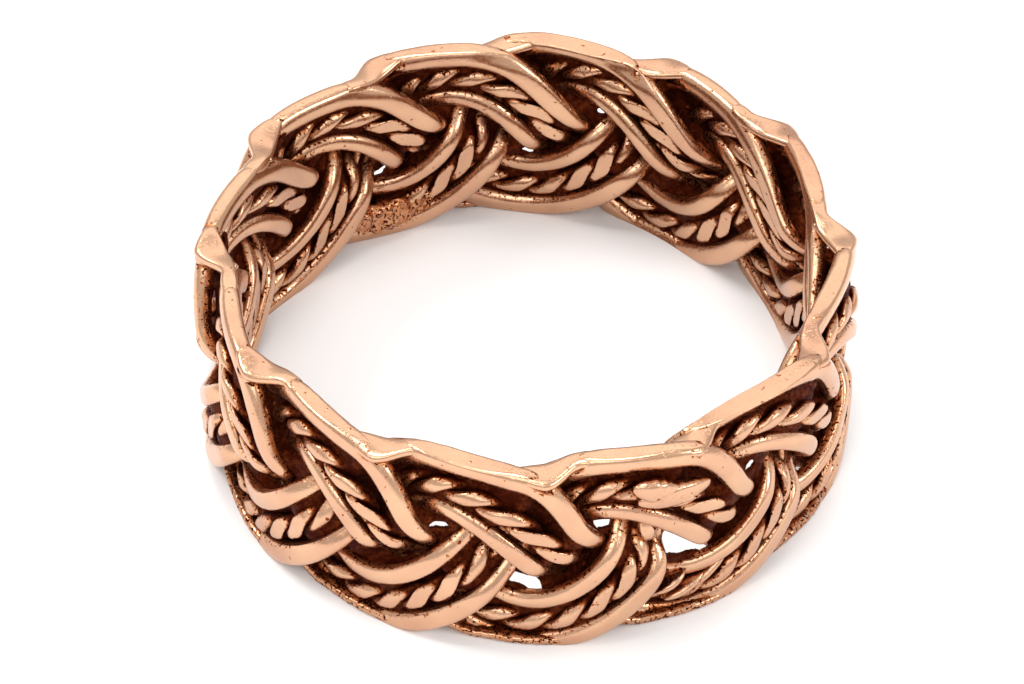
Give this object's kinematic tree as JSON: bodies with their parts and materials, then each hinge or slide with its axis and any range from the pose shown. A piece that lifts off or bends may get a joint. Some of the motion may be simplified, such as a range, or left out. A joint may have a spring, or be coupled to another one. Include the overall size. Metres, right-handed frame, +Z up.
{
  "type": "knot ring",
  "caption": "Wide finger ring plaited endlessly from flat strands, each a twisted rope between plain wires, in oxidised rose gold.",
  "frame": {"origin": "on the axis of the finger hole, in the plane that the ring rests on when it lies on its side", "axes": "+Z up, along the axis of the finger hole; -Y towards the stretch with the solder seam; +X to the right of it"},
  "size_m": [0.0218, 0.0218, 0.0076],
  "materials": {
    "plain_wire": "polished rose gold with dark oxide in the recesses",
    "rope": "worn rose gold with dark oxide between the plies"
  },
  "bodies": {
    "root": {"strand_1_upper_wire": "plain_wire", "strand_1_rope": "rope", "strand_1_lower_wire": "plain_wire", "strand_2_upper_wire": "plain_wire", "strand_2_rope": "rope", "strand_2_lower_wire": "plain_wire", "strand_3_upper_wire": "plain_wire", "strand_3_rope": "rope", "strand_3_lower_wire": "plain_wire"}
  },
  "joints": []
}
